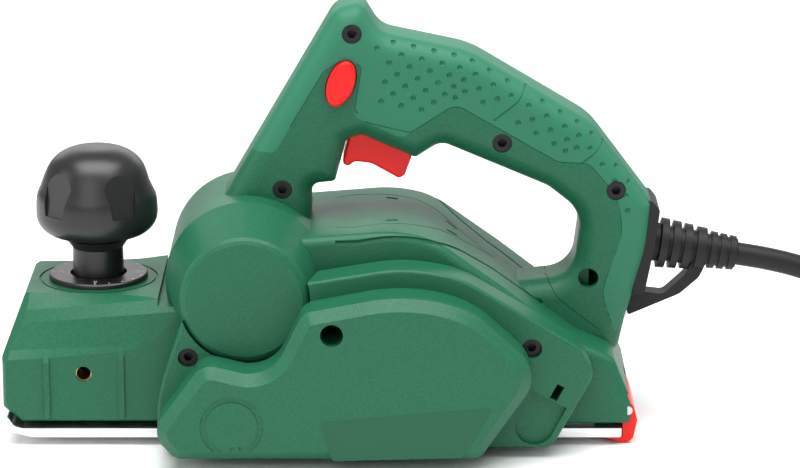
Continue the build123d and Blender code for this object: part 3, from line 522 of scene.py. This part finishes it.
def make_grip():
    grip = welded_copy("grip_skin", "soft_grip")
    tree = surface(grip)
    edge = filleted(SKIN_EDGE)
    top = filleted(HANDLE_TOP, step=0.5)
    notches = [filleted(n) for n in NOTCHES]
    balls = []
    for place in dimple_places(top, edge, notches):
        for turn in (-1, 1):
            hit = on_side(tree, place.x, place.y, turn)
            if hit and abs(hit[0].y) > DIMPLE_SIDE * MM:
                balls.append(ball(hit[0] + hit[1] * DIMPLE_CENTRE * MM, DIMPLE_RADIUS))
    carve(grip, joined("dimples", balls))
    cut_lines(grip, notches, NOTCH_RADIUS)
    cut_lines(grip, [edge], SEAM_RADIUS)
    finish_piece(grip, "grip_skin")


make_grip()

# ---- the housing halves: the groove and seams round the motor's top, two vents and a screw well
SIGHT_Y = -38.0  # the plane, just inside the near side, that these lines are given in
MOTOR_GROOVE = [(9, 85.6, 1), (18, 85.8, 12), (36, 88.6, 60), (58, 85, 40), (75, 75, 60), (97, 59, 1)]
MOTOR_SEAM = [(9, 92.7, 1), (16, 92.6, 12), (34, 95, 60), (54, 92, 40), (72, 82, 60), (89, 71.5, 1)]
REAR_SEAM = [(98, 72.5, 1), (103, 61.5, 15), (121, 47.5, 1)]
VENTS = [((30.4, 95.7), (35.4, 96)), ((56.3, 91.6), (60.5, 89.2))]
GROOVE_RADIUS, FINE_SEAM_RADIUS, VENT_RADIUS = 1.3, 0.35, 1.2
LINE_STEP = 1.5
REAR_WELL = (117.6, 64)
WELL_RADIUS, WELL_DEPTH = 4.4, 7.0
WELL_OVERRUN = 3.0  # of the cutter, out past the surface
EYE = bpy.context.scene.camera.location.copy()
near_half = surface(nodes["housing_left"])


def in_sight(tree, x, z):
    """Where the surface lies behind a place of the near side, as the camera looks at it."""
    ray = (at(x, z, SIGHT_Y) - EYE).normalized()
    return tree.ray_cast(EYE, ray)[0]


def cut_in_sight(piece, line, radius_mm, mirrored=False):
    """Engrave a line, laid on the top as seen from the near side, or its mirror image."""
    path = [p for p in (in_sight(near_half, point.x, point.y) for point in line) if p]
    if mirrored:
        path = [Vector((p.x, -p.y, p.z)) for p in path]
    if len(path) > 3:
        carve(piece, joined("groove", [tube("groove", path, radius_mm)]))


def cut_well(piece, turn):
    """The head well of the rear screw."""
    place = on_side(surface(piece), *REAR_WELL, turn)[0]
    inner = place - Vector((0, turn * WELL_DEPTH * MM, 0))
    outer = place + Vector((0, turn * WELL_OVERRUN * MM, 0))
    carve(piece, joined("well", [tube("well", [inner, outer], WELL_RADIUS, roundness=10)]))


def make_shell(node, name, turn):
    shell = welded_copy(node, name)
    mirrored = turn > 0
    cut_in_sight(shell, filleted(MOTOR_GROOVE, LINE_STEP), GROOVE_RADIUS, mirrored)
    cut_in_sight(shell, filleted(MOTOR_SEAM, LINE_STEP), FINE_SEAM_RADIUS, mirrored)
    cut_in_sight(shell, filleted(REAR_SEAM, LINE_STEP), FINE_SEAM_RADIUS, mirrored)
    for start, end in VENTS:
        vent = [Vector(start).lerp(Vector(end), i / 4) for i in range(5)]
        cut_in_sight(shell, vent, VENT_RADIUS, mirrored)
    if not mirrored:
        cut_well(shell, turn)
    finish_piece(shell, node)


make_shell("housing_left", "near_shell", -1)
make_shell("housing_right", "far_shell", 1)

# ---- the depth scale's marks: a figure each half millimetre, a tick each tenth
DIAL_STEP = math.radians(18)  # the knob's turn for a tenth of a millimetre
FIGURES = {0: "0", 5: "0.5", 10: "1", 15: "1.5"}
FIGURE_HEIGHT = 3.4
MARK_RELIEF = 0.08
MARKS = 16  # from 0 to 1.5 mm
LONG_TICK, SHORT_TICK, TICK_WIDTH = 2.0, 1.2, 0.4
TICK_INSET, FIGURE_INSET = 1.9, 5.0  # from the ring's rim
ABOVE = 0.02  # metres over the ring, where the rays that place the marks start


def figure_mesh(text):
    """A figure's outline as a thin raised mesh."""
    curve = bpy.data.curves.new("figure", "FONT")
    curve.body = text
    curve.size = FIGURE_HEIGHT * MM
    curve.extrude = MARK_RELIEF * MM
    curve.align_x = "CENTER"
    curve.align_y = "CENTER"
    made = mesh_piece("figure", curve)
    mesh = bpy.data.meshes.new_from_object(made)
    bpy.data.objects.remove(made)
    return mesh


def tick_mesh(length_mm, width_mm):
    x, y, z = width_mm * MM / 2, length_mm * MM / 2, MARK_RELIEF * MM
    points = [(sx * x, sy * y, sz * z) for sz in (-1, 1) for sx, sy in ((-1, -1), (1, -1), (1, 1), (-1, 1))]
    faces = [(3, 2, 1, 0), (4, 5, 6, 7), (0, 1, 5, 4), (1, 2, 6, 5), (2, 3, 7, 6), (3, 0, 4, 7)]
    mesh = bpy.data.meshes.new("tick")
    mesh.from_pydata(points, [], faces)
    return mesh


def make_scale_marks():
    low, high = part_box("scale_ring")
    centre = (low + high) / 2
    outer = (high.x - low.x) / 2
    tree = surface(nodes["scale_ring"])
    marks = []
    for step in range(MARKS):
        angle = DIAL_STEP * step - math.pi / 2
        wide = step in FIGURES
        tick = tick_mesh(LONG_TICK if wide else SHORT_TICK, TICK_WIDTH)
        pieces = [(tick, outer - TICK_INSET * MM)]
        if wide:
            pieces.append((figure_mesh(FIGURES[step]), outer - FIGURE_INSET * MM))
        for mesh, radius in pieces:
            reach = Vector((radius * math.cos(angle), radius * math.sin(angle), 0))
            start = Vector((centre.x, centre.y, high.z + ABOVE)) + reach
            found = tree.ray_cast(start, Vector((0, 0, -1)))[0]
            if found is None:
                continue
            mesh.transform(Matrix.Translation(found) @ Matrix.Rotation(angle + math.pi / 2, 4, "Z"))
            marks.append(mesh)
    piece = joined("scale_marks", marks)
    piece.data.materials.append(moulded("printed_marks", (0.7, 0.7, 0.68), 0.5, speckle=0.05))
    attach(piece, nodes["scale_ring"]["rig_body"])


make_scale_marks()

# ---- the screws' six-lobed sockets
SHELL_SCREWS = [(16, 171.5), (80, 124), (129, 103), (-14, 103.5)]
COVER_SCREWS = [(92, 45), (-53, 41)]
SOCKET_RADIUS, SOCKET_WAVE, SOCKET_DEPTH = 1.75, 0.28, 2.2


def lobed_prism(centre, depth_mm, points_round=36):
    """A prism along Y with six lobes, centred on its open end."""
    points, faces = [], []
    for y in (-depth_mm, depth_mm):
        for i in range(points_round):
            turn = 2 * math.pi * i / points_round
            radius = (SOCKET_RADIUS + SOCKET_WAVE * math.cos(6 * turn)) * MM
            points.append(centre + Vector((radius * math.cos(turn), y * MM, radius * math.sin(turn))))
    for i in range(points_round):
        after = (i + 1) % points_round
        faces.append((i, i + points_round, after + points_round, after))
    faces.append(tuple(range(points_round)))
    faces.append(tuple(reversed(range(points_round, 2 * points_round))))
    mesh = bpy.data.meshes.new("socket")
    mesh.from_pydata(points, [], faces)
    return mesh


def make_screws(node, name, places):
    screws = welded_copy(node, name)
    tree = surface(screws)
    heads = [on_side(tree, x, z, -1) for x, z in places]
    carve(screws, joined("sockets", [lobed_prism(hit[0], SOCKET_DEPTH) for hit in heads if hit]))
    finish_piece(screws, node)


make_screws("housing_screws", "shell_screws", SHELL_SCREWS)
make_screws("cover_screws", "belt_cover_screws", COVER_SCREWS)

# ---- stage, lights and the last lines
FLOOR_HALF = 4.0


def make_stage():
    mesh = bpy.data.meshes.new("floor")
    corners = [(x * FLOOR_HALF, y * FLOOR_HALF, 0) for x, y in ((-1, -1), (1, -1), (1, 1), (-1, 1))]
    mesh.from_pydata(corners, [], [(0, 1, 2, 3)])
    floor = mesh_piece("floor", mesh)
    made = Material("pale_floor", 0.6)
    made.shader.inputs["Base Color"].default_value = (0.93, 0.93, 0.93, 1)
    floor.data.materials.append(made.material)


def area_light(name, place, target, size, power):
    data = bpy.data.lights.new(name, "AREA")
    data.shape = "RECTANGLE"
    data.size, data.size_y = size
    data.energy = power
    light = bpy.data.objects.new(name, data)
    light.location = place
    light.rotation_euler = (Vector(target) - Vector(place)).to_track_quat("-Z", "Y").to_euler()
    bpy.context.scene.collection.objects.link(light)


def make_lights():
    middle = (0, 0, 0.08)
    area_light("overhead", (0, -0.3, 1.5), middle, (1.8, 1.2), 42)
    area_light("front", (-0.5, -1.9, 1.0), middle, (1.4, 1.0), 9)
    area_light("left", (-1.6, -0.3, 0.6), middle, (0.8, 1.0), 6)
    area_light("right", (1.7, 0.3, 0.8), middle, (0.8, 1.0), 6)
    area_light("behind", (0, 2.3, 0.95), middle, (3.2, 1.1), 16)
    world = bpy.data.worlds.new("studio")
    world.use_nodes = True
    background = world.node_tree.nodes["Background"]
    background.inputs["Color"].default_value = (1, 1, 1, 1)
    background.inputs["Strength"].default_value = 0.32
    bpy.context.scene.world = world
    bpy.context.scene.view_settings.view_transform = "Standard"


make_stage()
make_lights()

paint(cord, "black_rubber")
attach(cord, "housing")
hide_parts("mains_cord", "cord_coil", "cord_tail")
